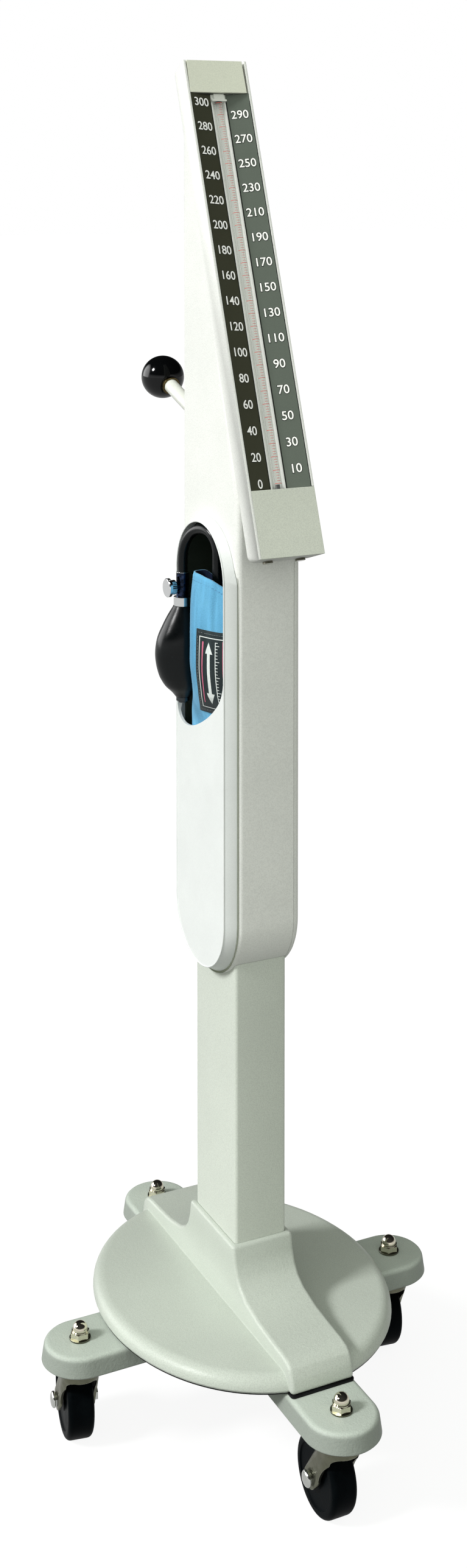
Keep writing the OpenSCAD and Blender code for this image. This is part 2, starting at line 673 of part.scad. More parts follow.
module bulb() color("#16171a") translate([bulb_at.x, bulb_at.y, 0]) cloth([for (row = bulb_rows)
    [for (a = [345:-15:0]) [row[1] * (1 + 0.045 * squeeze(row[1])) * cos(a),
        row[1] * (1 - 0.235 * squeeze(row[1])) * sin(a), row[0]]]]);

module intake_valve() color("#a7aaad") translate([bulb_at.x, bulb_at.y, 574.5]) difference() {
    union() {
        translate([0, 0, 1.5]) cylinder(r = 5.4, h = 3, $fn = small_fn);
        cylinder(r = 3.6, h = 1.5, $fn = small_fn);
    }
    translate([0, 0, -1]) cylinder(r = 1.5, h = 4, $fn = small_fn);
}

valve_z = 668;
valve_top = 680;
knob_x = [-46, -53.5];

module release_valve() color("#b6babd") difference() {
    union() {
        translate([bulb_at.x, bulb_at.y, 653]) cylinder(r = 7.3, h = 7, $fn = small_fn);
        translate([bulb_at.x, bulb_at.y, 660]) cylinder(r = 5.3, h = valve_top - 660, $fn = small_fn);
        translate([knob_x[0] + 0.5, bulb_at.y, valve_z]) rotate([0, 90, 0])
            cylinder(r = 4, h = 7, $fn = small_fn);
    }
    translate([knob_x[0] - 1, bulb_at.y, valve_z]) rotate([0, 90, 0])
        cylinder(r = 2.5 + running, h = 8.5, $fn = small_fn);
}

// Thumb knob on its needle: a plain disc before a knurled collar.
module valve_knob() color("#d4d7d9") translate([0, bulb_at.y, valve_z]) {
    teeth = 24;
    disc_t = 2.8;
    collar_r = 5.9;
    translate([knob_x[1], 0, 0]) rotate([0, 90, 0]) {
        cylinder(r1 = knob_d / 2 - 0.6, r2 = knob_d / 2, h = 0.6, $fn = side_fn);
        translate([0, 0, 0.6]) cylinder(d = knob_d, h = disc_t - 0.6, $fn = side_fn);
        linear_extrude(knob_x[0] - knob_x[1])
            polygon([for (i = [0:2 * teeth - 1]) let (a = i * 180 / teeth,
                r = collar_r - (i % 2) * 0.6) [r * cos(a), r * sin(a)]]);
    }
    translate([knob_x[0] - 1, 0, 0]) rotate([0, 90, 0]) cylinder(r = 2.5, h = 8, $fn = small_fn);
}

// Hose from the valve up over the roll and down to the bladder's port, as run along its plane and height.
hose_top = [25.6, 717.6];
hose_end_s = 42.1;
hose_rise = concat([[0, valve_top]], [for (a = [180:-15:90]) [hose_top.x * (1 + cos(a)),
    690 + 27.6 * sin(a)]],
    [for (a = [75:-15:0]) [hose_top.x + (hose_end_s - hose_top.x) * cos(a), 700 + 17.6 * sin(a)]],
        [[hose_end_s, 676]]);
hose_way = cuff_port - bulb_at;
hose_route = [for (p = hose_rise) concat(bulb_at + hose_way * p[0] / norm(hose_way), p[1])];

function unit(v) = v / norm(v);
function along(p, i) = unit(p[min(i + 1, len(p) - 1)] - p[max(i - 1, 0)]);

// Ring of points square to the route. The route lies in one upright plane, whose normal is side.
function hose_ring(i, side, n) = let (t = along(hose_route, i), up = cross(side, t))
    [for (k = [0:n - 1]) hose_route[i] + hose_d / 2 * (cos(-360 * k / n) * side + sin(-360 * k / n) * up)];

module bulb_hose() color("#1b1c1f")
    cloth([for (i = [0:len(hose_route) - 1]) hose_ring(i, unit([-hose_way.y, hose_way.x, 0]), 12)]);

// Only these lines draw anything.
leg_frame();
base_cover();
base_bolts();
caster_stems();
swivel_bearings();
stem_washers();
acorn_nuts();
caster_fork_front();
caster_fork_right();
caster_fork_back();
caster_fork_left();
axle_front();
axle_right();
axle_back();
axle_left();
wheel_front();
wheel_right();
wheel_back();
wheel_left();
column_tube();
column_pads();
column_screws();
housing_body();
housing_side_cover();
cover_screws();
pocket_cover();
pocket_liner();
scale_cap();
lower_plate();
scale_panel_left();
scale_panel_right();
tube_channel();
glass_tube();
mercury();
mercury_reservoir();
reservoir_lid();
reservoir_bracket();
hose_barb();
tube_gland();
tube_clip();
head_screws();
handle_socket();
handle_rod();
handle_ferrule();
ball_knob();
cuff();
cuff_bladder();
cuff_label();
bulb();
intake_valve();
release_valve();
valve_knob();
bulb_hose();
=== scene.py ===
import math

import bpy
from mathutils import Euler, Matrix, Vector, noise


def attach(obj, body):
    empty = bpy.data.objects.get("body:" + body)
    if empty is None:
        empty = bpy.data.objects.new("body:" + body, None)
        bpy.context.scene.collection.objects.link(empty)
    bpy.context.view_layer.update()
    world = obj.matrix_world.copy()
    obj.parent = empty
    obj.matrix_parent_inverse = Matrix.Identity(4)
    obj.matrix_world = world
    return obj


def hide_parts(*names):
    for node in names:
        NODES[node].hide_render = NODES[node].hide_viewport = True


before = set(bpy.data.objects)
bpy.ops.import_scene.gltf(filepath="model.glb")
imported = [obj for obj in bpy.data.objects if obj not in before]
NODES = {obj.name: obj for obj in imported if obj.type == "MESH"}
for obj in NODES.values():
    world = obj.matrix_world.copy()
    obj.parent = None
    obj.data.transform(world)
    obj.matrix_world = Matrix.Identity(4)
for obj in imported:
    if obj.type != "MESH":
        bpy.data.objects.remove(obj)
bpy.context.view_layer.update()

MM = 0.001
TAU = 2 * math.pi


def cosd(degrees):
    return math.cos(math.radians(degrees))


def sind(degrees):
    return math.sin(math.radians(degrees))


def put_in_scene(name, data):
    """A new object at the origin, made from a mesh, a curve, a lamp or a camera."""
    o = bpy.data.objects.new(name, data)
    bpy.context.scene.collection.objects.link(o)
    return o


def piece(name, data, slot, *materials):
    """A new piece that rides on the stand."""
    o = put_in_scene(name, data)
    for m in materials:
        o.data.materials.append(m)
    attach(o, "stand")
    return o


# The camera, solved from the photograph: its place in metres, its focal length in the photograph's pixels
IMAGE_H = 2576
FOCAL_PX = 3192.4
SENSOR = 36
EYE = Vector((-0.67815, -1.38234, 0.99605))
AZIMUTH, PITCH = math.radians(-26.1969), math.radians(2.6397)

camera = put_in_scene("camera", bpy.data.cameras.new("camera"))
camera.location = EYE
camera.rotation_euler = Euler((math.pi / 2 - PITCH, 0, AZIMUTH), "XYZ")
camera.data.sensor_width = SENSOR
camera.data.lens = SENSOR * FOCAL_PX / IMAGE_H
camera.data.shift_x = -0.0058
camera.data.shift_y = -0.33
camera.data.clip_start, camera.data.clip_end = 0.05, 60
bpy.context.scene.camera = camera


# Points and meshes
def mesh_of(name, points, faces, smooth=True):
    m = bpy.data.meshes.new(name)
    m.from_pydata([tuple(p) for p in points], [], faces)
    m.validate()
    if smooth:
        m.shade_smooth()
    m.update()
    return m


def catmull(a, b, c, d, t):
    """The value between b and c at t, on a smooth curve through all four."""
    cubic = 3 * b - a - 3 * c + d
    return 0.5 * (2 * b + (c - a) * t + (2 * a - 5 * b + 4 * c - d) * t * t + cubic * t ** 3)


def smooth_line(points, per):
    """Points on a smooth curve through the given ones, per of them to a stretch."""
    ends = [2 * points[0] - points[1]] + points + [2 * points[-1] - points[-2]]
    line = []
    for i in range(1, len(ends) - 2):
        for k in range(per):
            line.append(catmull(ends[i - 1], ends[i], ends[i + 1], ends[i + 2], k / per))
    return line + [points[-1]]


def circle(rx, ry, n):
    """n points round an ellipse, the first on its x axis."""
    return [Vector((rx * math.cos(a), ry * math.sin(a))) for a in (TAU * k / n for k in range(n))]


def loft(name, rings, marks=None, closed_ends=True):
    """A mesh from closed rings of points in mm. marks gives each side of a ring its material slot."""
    n, points, faces, slots = len(rings[0]), [], [], []
    for ring in rings:
        points += ring
    for i in range(len(rings) - 1):
        for k in range(n):
            k2 = (k + 1) % n
            faces.append((i * n + k, i * n + k2, (i + 1) * n + k2, (i + 1) * n + k))
            slots.append(marks[k] if marks else 0)
    if closed_ends:
        faces.append(tuple(range(n))[::-1])
        faces.append(tuple(range((len(rings) - 1) * n, len(rings) * n)))
        slots += [0, 0]
    mesh = mesh_of(name, [q * MM for q in points], faces)
    for poly, m in zip(mesh.polygons, slots):
        poly.material_index = m
    return mesh


def tube(name, path, radii, sides=8, closed=False):
    """A round bead along a path in mm, with a radius for each of its points."""
    n, rings = len(path), []
    for i, q in enumerate(path):
        before, after = path[max(i - 1, 0)], path[min(i + 1, n - 1)]
        if closed:
            before, after = path[i - 1], path[(i + 1) % n]
        along = (after - before).normalized()
        out = along.cross(Vector((1, 0, 0)) if abs(along.x) < 0.9 else Vector((0, 0, 1))).normalized()
        up = along.cross(out)
        turns = [TAU * k / sides for k in range(sides)]
        rings.append([q + (out * math.cos(a) + up * math.sin(a)) * radii[i] for a in turns])
    if closed:
        rings.append(rings[0])
    return loft(name, rings, closed_ends=not closed)


def joined(name, meshes, smooth=True):
    """Several meshes as one."""
    points, faces = [], []
    for m in meshes:
        first = len(points)
        points += [v.co.copy() for v in m.vertices]
        faces += [tuple(first + v for v in p.vertices) for p in m.polygons]
    return mesh_of(name, points, faces, smooth)


# The bulb's hose, first of the pieces because it is a cord. Its route is the CAD solid's, in mm
HOSE_D = 8 * MM
VALVE_XY, PORT_XY = Vector((-39, 25.5)), Vector((-27.5, -15))


def hose_route():
    """Up from the valve, over the roll on two quarter ellipses, and down to the bladder's port."""
    crest = 25.6
    climb = [(crest * (1 + cosd(a)), 690 + 27.6 * sind(a)) for a in range(180, 89, -15)]
    fall = [(crest + 16.5 * cosd(a), 700 + 17.6 * sind(a)) for a in range(75, -1, -15)]
    way = (PORT_XY - VALVE_XY).normalized()
    return [Vector((*(VALVE_XY + way * t), z)) * MM for t, z in [(0, 680), *climb, *fall, (42.1, 676)]]


hose_line = smooth_line(hose_route(), 3)
hose_curve = bpy.data.curves.new("hose", "CURVE")
hose_curve.dimensions = "3D"
hose_curve.bevel_depth = 1
hose_curve.bevel_resolution = 8
hose_curve.use_fill_caps = True
spline = hose_curve.splines.new("POLY")
spline.points.add(len(hose_line) - 1)
for knot, q in zip(spline.points, hose_line):
    knot.co = (*q, 1)
    knot.radius = HOSE_D / 2
hose = piece("hose", hose_curve, "bulb_rubber")
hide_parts("bulb_hose")


# Materials
class Nodes:
    """A node tree, with short calls for the nodes used here."""

    def __init__(self, tree):
        self.tree = tree

    def put(self, socket, value):
        """Links a node's output to a socket, or sets the socket's own value."""
        if isinstance(value, bpy.types.NodeSocket):
            self.tree.links.new(value, socket)
        else:
            socket.default_value = value

    def new(self, kind, inputs=None, **props):
        """A node with its properties, and then its sockets by name or number."""
        node = self.tree.nodes.new(kind)
        for key, value in props.items():
            setattr(node, key, value)
        for key, value in (inputs or {}).items():
            self.put(node.inputs[key], value)
        return node

    def math(self, op, a, b=0.0, clamp=False):
        return self.new("ShaderNodeMath", {0: a, 1: b}, operation=op, use_clamp=clamp).outputs[0]

    def dot(self, a, b):
        return self.new("ShaderNodeVectorMath", {0: a, 1: b}, operation="DOT_PRODUCT").outputs["Value"]

    def mix(self, fac, a, b):
        """Colour a where fac is 0, and colour b where it is 1."""
        return self.new("ShaderNodeMix", {0: fac, 6: a, 7: b}, data_type="RGBA").outputs[2]

    def ramp(self, value, low, high, to_low=0.0, to_high=1.0, kind="LINEAR"):
        """From to_low to to_high as the value goes from low to high, and held there beyond them."""
        inputs = {"Value": value, "From Min": low, "From Max": high, "To Min": to_low, "To Max": to_high}
        return self.new("ShaderNodeMapRange", inputs, interpolation_type=kind).outputs["Result"]


class Graph(Nodes):
    """The node tree of a new material."""

    def __init__(self, name):
        self.mat = bpy.data.materials.new(name)
        self.mat.use_nodes = True
        super().__init__(self.mat.node_tree)
        self.coords = self.new("ShaderNodeTexCoord").outputs["Object"]

    def noise(self, scale, detail=3.0, rough=0.5, vector=None):
        inputs = {"Vector": vector or self.coords, "Scale": scale, "Detail": detail, "Roughness": rough}
        return self.new("ShaderNodeTexNoise", inputs).outputs["Fac"]

    def stretched(self, scale):
        """The object's coordinates, scaled apart along each axis."""
        return self.new("ShaderNodeMapping", {"Vector": self.coords, "Scale": scale}).outputs["Vector"]

    def z_of(self, vector):
        return self.new("ShaderNodeSeparateXYZ", {"Vector": vector}).outputs["Z"]

    def true_normal(self):
        return self.new("ShaderNodeNewGeometry").outputs["Normal"]

    def edges(self, radius):
        """A normal that rounds the mesh's sharp edges by a radius."""
        return self.new("ShaderNodeBevel", {"Radius": radius}, samples=6).outputs["Normal"]

    def bump(self, height, distance, after=None):
        """A normal with a bump of a height in metres, on top of another normal."""
        node = self.new("ShaderNodeBump", {"Height": height, "Distance": distance, "Strength": 1.0})
        if after:
            self.put(node.inputs["Normal"], after)
        return node.outputs["Normal"]

    def rubbed(self, base, rounded, share, edge_tint):
        """The base colour, with a share of a paler edge tint where the rounded normal leaves the true one: part
        wear, part painted highlight.
        """
        flat = self.dot(rounded, self.true_normal())
        return self.mix(self.ramp(flat, 0.99, 0.86, 0, share), base, edge_tint)

    def speckled(self, colour, cell, rough, speck):
        """A colour with faint clouds and fine darker specks."""
        clouds = self.ramp(self.noise(cell, 4, rough), 0.3, 0.7)
        specks = self.ramp(self.noise(1100, 2, 0.7), 0.42, 0.62, 0, speck)
        base = self.mix(clouds, darker(colour, 0.95), darker(colour, 1.03))
        return self.mix(specks, base, darker(colour, 0.7))

    def finish(self, **inputs):
        """The material, with the shader's sockets set by name, _ for a space."""
        shader = self.tree.nodes["Principled BSDF"]
        for key, value in inputs.items():
            self.put(shader.inputs[key.replace("_", " ")], value)
        return self.mat


def srgb(r, g, b):
    """A colour read as 0 to 255, as the linear values that a shader takes."""
    def one(c):
        c /= 255
        return c / 12.92 if c <= 0.04045 else ((c + 0.055) / 1.055) ** 2.4
    return (one(r), one(g), one(b), 1.0)


def darker(c, k):
    return (c[0] * k, c[1] * k, c[2] * k, 1.0)


def grey(v):
    return (v, v, v, 1)


WHITE = grey(1)
SCRATCHES = (60, 60, 2500)


def enamel(name, colour, peel=0.00005, rough=0.42, cell=1500, wear_and_edge_highlight=0.1, edge=0.0008, speck=0.2, sides=0):
    """Sprayed enamel: a fine orange peel, faint cloudiness, painted shade on upright sides, and paler edges that
    are part wear and part painted highlight.
    """
    g = Graph(name)
    rounded = g.edges(edge)
    base = g.speckled(colour, 9, 0.55, speck)
    if wear_and_edge_highlight:
        base = g.rubbed(base, rounded, wear_and_edge_highlight, srgb(246, 249, 242))
    # Painted shade: faces that do not face up are darkened by the share sides.
    if sides:
        base = g.mix(g.ramp(g.z_of(g.true_normal()), 0.8, 0.3, 0, sides), base, darker(colour, 0.3))
    grain = g.math("ADD", g.noise(cell, 2, 0.6), g.noise(cell * 0.4, 2, 0.5))
    return g.finish(Base_Color=base, Roughness=g.ramp(g.noise(60, 3), 0.3, 0.7, rough - 0.06, rough + 0.07),
                    Specular_IOR_Level=0.35, Normal=g.bump(grain, peel, after=rounded))


def moulded(name, colour, grain=0.00006, rough=0.5, cell=1500, shine=0.3, speck=0.3):
    """Moulded plastic with a fine spark-eroded grain."""
    g = Graph(name)
    spark = g.bump(g.noise(cell, 2, 0.6), grain, after=g.edges(0.0008))
    return g.finish(Base_Color=g.speckled(colour, 14, 0.6, speck), Specular_IOR_Level=shine, Normal=spark,
                    Roughness=g.ramp(g.noise(80, 3), 0.3, 0.7, rough - 0.05, rough + 0.08))


def metal(name, colour, rough=0.2, scratch=0.00001, scale=SCRATCHES, tarnish=0.0, wear_and_edge_highlight=0.0):
    """Metal with fine scratches along one way, smudges, and paler edges that are part wear and part painted
    highlight.
    """
    g = Graph(name)
    smudge = g.noise(160, 3, 0.6)
    base = g.mix(g.ramp(smudge, 0.35, 0.75, 0, tarnish), colour, darker(colour, 0.5))
    rounded = g.edges(0.0003)
    if wear_and_edge_highlight:
        base = g.rubbed(base, rounded, wear_and_edge_highlight, srgb(222, 222, 206))
    lines = g.noise(1.0, 3, 0.6, g.stretched(scale))
    return g.finish(Base_Color=base, Metallic=1.0, Normal=g.bump(lines, scratch, after=rounded),
                    Roughness=g.ramp(smudge, 0.3, 0.75, rough * 0.8, rough * 1.35))


def rubber(name, colour, rough=0.45, bumps=0.00003, shine=0.16, dusty=0.12):
    """Rubber with a dull bloom of dust in patches."""
    g = Graph(name)
    dust = g.noise(45, 4, 0.6)
    return g.finish(Base_Color=g.mix(g.ramp(dust, 0.45, 0.8, 0, dusty), colour, srgb(60, 68, 72)),
                    Roughness=g.ramp(dust, 0.3, 0.8, rough - 0.08, rough + 0.15),
                    Specular_IOR_Level=shine, Normal=g.bump(g.noise(1200, 2), bumps, after=g.edges(0.0004)))


def ink(name, low, high, cell=400, rough=0.5, grain=None, **more):
    """Print, paint or thread: two near colours in fine clouds, and a grain of a cell and a height."""
    g = Graph(name)
    if grain:
        more["Normal"] = g.bump(g.noise(grain[0]), grain[1])
    return g.finish(Base_Color=g.mix(g.noise(cell), srgb(*low), srgb(*high)), Roughness=rough, **more)


def woven(name, light, dark, pitch, sheen=0.3, depth=0.00012, nap=0.00008):
    """Woven cloth: threads over and under on a fine grid, a soft nap, uneven colour, and painted shade in long
    upright bands, as of folds.
    """
    g = Graph(name)
    bands = {"Vector": g.coords, "Scale": 1000 / pitch / TAU, "Distortion": 0.6, "Detail": 1.0}
    down, across = (g.new("ShaderNodeTexWave", bands, wave_type="BANDS", bands_direction=axis).outputs["Fac"]
                    for axis in "ZY")
    weave = g.math("MULTIPLY", down, across)
    fuzz = g.noise(1500, 3, 0.65)
    fold_shade = g.noise(1.0, 2, 0.5, g.stretched((90, 90, 7)))
    base = g.mix(g.ramp(g.noise(26, 4, 0.6), 0.3, 0.7), dark, light)
    # Painted shade: darker upright bands, as where the cloth folds.
    base = g.mix(g.ramp(fold_shade, 0.4, 0.6, 0, 0.75), base, darker(dark, 0.6))
    base = g.mix(g.ramp(fuzz, 0.35, 0.75, 0, 0.5), base, darker(light, 1.3))
    base = g.mix(g.ramp(weave, 0.0, 0.35, 0.12, 0), base, darker(dark, 0.72))
    return g.finish(Base_Color=base, Roughness=g.ramp(fuzz, 0.3, 0.7, 0.75, 0.92), Sheen_Weight=sheen,
                    Sheen_Roughness=0.4, Specular_IOR_Level=0.2,
                    Normal=g.bump(fuzz, nap, after=g.bump(weave, depth)))


def polished_ball():
    """The handle's ball: glossy black plastic with duller patches."""
    g = Graph("ball_plastic")
    dull = g.ramp(g.noise(60, 3), 0.4, 0.8, 0, 0.3)
    return g.finish(Base_Color=g.mix(dull, srgb(5, 6, 7), srgb(12, 14, 16)), Specular_IOR_Level=0.3,
                    Roughness=g.ramp(g.noise(110, 4, 0.7), 0.35, 0.75, 0.05, 0.16),
                    Normal=g.bump(g.noise(30, 2), 0.0001))


def valve_plating():
    """Chrome, with a painted reflection, dark and blue, in a band between two heights of the release valve."""
    g = Graph("valve_body")
    height = g.z_of(g.coords)
    reflection_band = g.math("MULTIPLY", g.ramp(height, 0.65995, 0.66005), g.ramp(height, 0.6798, 0.6796))
    painted_reflection = g.mix(g.ramp(g.noise(220, 3, 0.7), 0.4, 0.7), srgb(20, 24, 30), srgb(58, 72, 104))
    lines = g.noise(1.0, 3, 0.6, g.stretched(SCRATCHES))
    return g.finish(Base_Color=g.mix(reflection_band, srgb(226, 228, 228), painted_reflection), Metallic=1.0,
                    Roughness=g.ramp(g.noise(160, 3), 0.3, 0.75, 0.05, 0.16),
                    Normal=g.bump(lines, 0.000002, after=g.edges(0.0003)))


def tube_glass():
    """Thin glass that is clear in the middle of the tube and shows at its rims."""
    g = Graph("tube_glass")
    rim = g.new("ShaderNodeLayerWeight", {"Blend": 0.35}).outputs["Facing"]
    return g.finish(Base_Color=g.mix(rim, (0.96, 0.98, 0.96, 1), (0.6, 0.65, 0.62, 1)), IOR=1.47,
                    Alpha=g.ramp(rim, 0.3, 0.97, 0.03, 0.42), Normal=g.bump(g.noise(40, 2), 0.00003),
                    Roughness=g.ramp(g.noise(200, 3), 0.4, 0.8, 0.02, 0.07))


base_paint = enamel("base_enamel", srgb(202, 209, 199), peel=0.00014, rough=0.38, cell=900, edge=0.0012,
                    speck=0.42)
# The legs get painted shade on their upright sides.
leg_paint = enamel("leg_enamel", srgb(196, 205, 195), peel=0.00024, rough=0.5, cell=750, edge=0.0012,
                   speck=0.4, sides=0.55)
column_paint = enamel("column_enamel", srgb(219, 225, 215), peel=0.0001, cell=1100, speck=0.4)
cap_paint = enamel("cap_enamel", srgb(238, 241, 224), peel=0.00002, edge=0.0005, speck=0.3)
plate_paint = enamel("plate_enamel", srgb(226, 230, 218), peel=0.00002, edge=0.0005, speck=0.4)
dark_plate = enamel("scale_dark", srgb(70, 71, 54), peel=0.00001, rough=0.5, wear_and_edge_highlight=0, edge=0.0003)
pale_plate = enamel("scale_pale", srgb(104, 113, 103), peel=0.00001, rough=0.5, wear_and_edge_highlight=0, edge=0.0003)
channel_paint = enamel("channel_white", srgb(250, 251, 248), peel=0.00001, rough=0.4, wear_and_edge_highlight=0, edge=0.0003)
clip_paint = enamel("clip_paint", srgb(244, 246, 240), peel=0.00001, rough=0.3, edge=0.0003)
rod_paint = enamel("rod_enamel", srgb(240, 242, 234), peel=0.00001, rough=0.3)
dark_metal = enamel("dark_metal", srgb(46, 48, 48), peel=0.00001, wear_and_edge_highlight=0.05)

case = moulded("case_plastic", srgb(250, 251, 247), grain=0.00011, cell=1000, speck=0.34)
cover = moulded("cover_plastic", srgb(240, 243, 242), grain=0.00003, rough=0.42, speck=0.12)
liner = moulded("liner_plastic", srgb(50, 58, 50), rough=0.5, shine=0.2)
ball = polished_ball()

# The zinc's paler edges are mostly a painted highlight, with some wear.
zinc = metal("zinc", srgb(112, 113, 96), rough=0.34, scratch=0.00002, scale=(300, 300, 60), tarnish=0.4,
             wear_and_edge_highlight=0.9)
bolt_zinc = metal("bolt_zinc", srgb(206, 208, 204), rough=0.16, scratch=0.000005, tarnish=0.2)
chrome = metal("nut_chrome", srgb(222, 216, 196), rough=0.06, scratch=0.000002)
intake_metal = metal("intake_metal", srgb(72, 76, 78), rough=0.3, tarnish=0.4)
valve_chrome = metal("valve_chrome", srgb(232, 233, 234), rough=0.06, scratch=0.000002)
valve_body = valve_plating()
ferrule_metal = metal("ferrule_metal", srgb(92, 80, 54), rough=0.25, tarnish=0.4)
dark_screw = metal("dark_screw", srgb(128, 126, 112), rough=0.14, scratch=0.000002, tarnish=0.6)
steel = metal("bolt_steel", srgb(168, 168, 162), rough=0.35, tarnish=0.4)
bearing = metal("bearing_steel", srgb(120, 120, 116), rough=0.4, tarnish=0.4)
brass = metal("brass_fitting", srgb(196, 166, 92), rough=0.28, tarnish=0.3)
mercury_metal = metal("mercury_metal", srgb(208, 210, 212), rough=0.08, scratch=0.000001)
glass = tube_glass()

seal = rubber("seal_rubber", srgb(14, 14, 15))
tyre = rubber("wheel_rubber", srgb(4, 7, 9), rough=0.4, shine=0.02, dusty=0.06)
bulb_skin = rubber("bulb_rubber", srgb(3, 7, 8), rough=0.26, bumps=0.00001, shine=0.26, dusty=0.03)
bladder_skin = rubber("bladder", srgb(20, 22, 24))
# The material of the dark tube that paints the shade in the pocket cover's gap.
gap_shade = rubber("gap_shadow", srgb(150, 156, 138), rough=0.8, shine=0.05)

cuff_fabric = woven("cuff_cloth", srgb(118, 190, 228), srgb(92, 166, 212), 0.55, depth=0.00005, nap=0.00012)
cuff_back = woven("cuff_backing", srgb(22, 36, 66), srgb(12, 20, 40), 0.55, sheen=0.1)
label_fabric = woven("label_cloth", srgb(50, 60, 62), srgb(34, 43, 46), 0.5, sheen=0.15, depth=0.00006,
                     nap=0.00003)
thread = ink("cuff_thread", (58, 118, 164), (110, 172, 212), 900, 0.7, (3000, 0.00004), Sheen_Weight=0.2)
pale_thread = ink("label_thread", (120, 130, 130), (168, 176, 176), 900, 0.7, (3000, 0.00004))
white_ink = ink("label_ink_white", (214, 222, 220), (246, 250, 248), 900, 0.6, (1800, 0.00003))
rose_ink = ink("label_ink_rose", (206, 96, 128), (226, 128, 156), 900, 0.6, (1800, 0.00003))
scale_red = ink("scale_red", (206, 66, 52), (226, 84, 66), 300, 0.45)
# Painted light: the white numbers glow faintly.
number_white_glow = ink("number_white_glow", (250, 251, 246), (255, 255, 252), Emission_Color=WHITE,
                   Emission_Strength=0.15)
number_black = ink("number_black", (12, 14, 12), (22, 24, 20))

FINISH = {
    "leg_frame": leg_paint, "base_cover": base_paint, "base_bolts": steel, "caster_stems": zinc,
    "swivel_bearings": bearing, "stem_washers": zinc, "acorn_nuts": chrome, "column_tube": column_paint,
    "column_pads": dark_metal, "column_screws": steel, "housing_body": case, "housing_side_cover": case,
    "cover_screws": steel, "pocket_cover": cover, "pocket_liner": liner, "scale_cap": cap_paint,
    "lower_plate": plate_paint, "scale_panel_left": dark_plate, "scale_panel_right": pale_plate,
    "tube_channel": channel_paint, "glass_tube": glass, "mercury": mercury_metal,
    "mercury_reservoir": dark_metal, "reservoir_lid": dark_metal, "reservoir_bracket": zinc,
    "hose_barb": brass, "tube_gland": seal, "tube_clip": clip_paint, "head_screws": dark_screw,
    "handle_socket": column_paint, "handle_rod": rod_paint, "handle_ferrule": ferrule_metal,
    "ball_knob": ball, "intake_valve": intake_metal, "release_valve": valve_body, "valve_knob": valve_chrome,
}
for place in ("front", "right", "back", "left"):
    FINISH["caster_fork_" + place] = zinc
    FINISH["axle_" + place] = bolt_zinc
    FINISH["wheel_" + place] = tyre


def smoothing(angle):
    """Modifier nodes that join a mesh's loose faces, then shade it smooth except at edges over an angle."""
    tree = bpy.data.node_groups.new("smooth_by_angle", "GeometryNodeTree")
    for end in ("INPUT", "OUTPUT"):
        tree.interface.new_socket("Geometry", in_out=end, socket_type="NodeSocketGeometry")
    n = Nodes(tree)
    mesh = n.new("NodeGroupInput").outputs[0]
    for kind, inputs in (("GeometryNodeRemoveAttribute", {"Name": "custom_normal"}),
                         ("GeometryNodeMergeByDistance", {"Distance": 0.00001}),
                         ("GeometryNodeSetShadeSmooth", {})):
        mesh = n.new(kind, {"Geometry": mesh, **inputs}).outputs["Geometry"]
    bend = n.new("GeometryNodeInputMeshEdgeAngle").outputs["Unsigned Angle"]
    sharp = n.new("FunctionNodeCompare", {"A": bend, "B": math.radians(angle)}, operation="GREATER_THAN")
    mesh = n.new("GeometryNodeSetShadeSmooth", {"Geometry": mesh, "Selection": sharp.outputs["Result"],
                                                "Shade Smooth": False}, domain="EDGE").outputs["Geometry"]
    n.new("NodeGroupOutput", {0: mesh})
    return tree


smooth_nodes = smoothing(32)
for name, material in FINISH.items():
    o = NODES[name]
    o.data.materials.clear()
    o.data.materials.append(material)
    o.modifiers.new("smooth", "NODES").node_group = smooth_nodes
hose_curve.materials.append(bulb_skin)


# The cuff, rolled up on end in the pocket, in mm and degrees
CUFF_ROWS = [  # height, middle x, middle y, half thickness, half width, turn
    (545.5, -20.2, -3, 12, 36, 12), (560, -20.3, -4, 12, 35.5, 13), (574, -22.2, -9, 12.3, 33, 18),
    (590, -26.3, -15.6, 15.3, 28.2, 20), (612, -28.5, -16.5, 16.5, 28, 20), (648, -28.5, -16.5, 16.5, 28, 20),
    (668, -27.7, -16.3, 16, 27.6, 20), (684, -26.5, -16, 15.5, 27, 20),
]
CUFF_LOW, CUFF_HIGH = CUFF_ROWS[0][0], CUFF_ROWS[-1][0]
CUFF_DROPS = [  # angle, how far the upper edge lies under CUFF_HIGH
    (150, 3), (215, 3), (285, 7.5), (300, 7.5), (385, 0), (470, 0), (540, 9), (800, 10),
]
ROLL_START, ROLL_TURNS, ROLL_PITCH = 150, 1.6, 3.8
CLOTH, HEM = 2.5, 5.2
STEPS_ROUND, STEPS_UP = 260, 46


def cuff_row(z):
    """The roll's section at a height, on smooth curves through the rows."""
    z = min(max(z, CUFF_LOW), CUFF_HIGH)
    i = max(k for k in range(len(CUFF_ROWS) - 1) if CUFF_ROWS[k][0] <= z)
    t = (z - CUFF_ROWS[i][0]) / (CUFF_ROWS[i + 1][0] - CUFF_ROWS[i][0])
    near = [CUFF_ROWS[min(max(k, 0), len(CUFF_ROWS) - 1)] for k in (i - 1, i, i + 1, i + 2)]
    return [catmull(*(r[k] for r in near), t) for k in range(1, 6)]


def bent(v):
    """Squares an ellipse's sine or cosine a little, so that its sides are flatter."""
    return math.copysign(abs(v) ** 0.77, v)


def cuff_point(z, phi, depth):
    """A point of the roll: depth counts inwards from its outside."""
    cx, cy, a, b, turn = cuff_row(z)
    u, v = (a - depth) * bent(cosd(phi)), (b - depth) * bent(sind(phi))
    return Vector((cx - u * cosd(turn) - v * sind(turn), cy - u * sind(turn) + v * cosd(turn), z))


def roll_phi(i, steps):
    """The angle after i of the steps that the whole roll takes."""
    return ROLL_START + ROLL_TURNS * 360 * i / steps


def roll_depth(phi):
    return ROLL_PITCH * (phi - ROLL_START) / 360


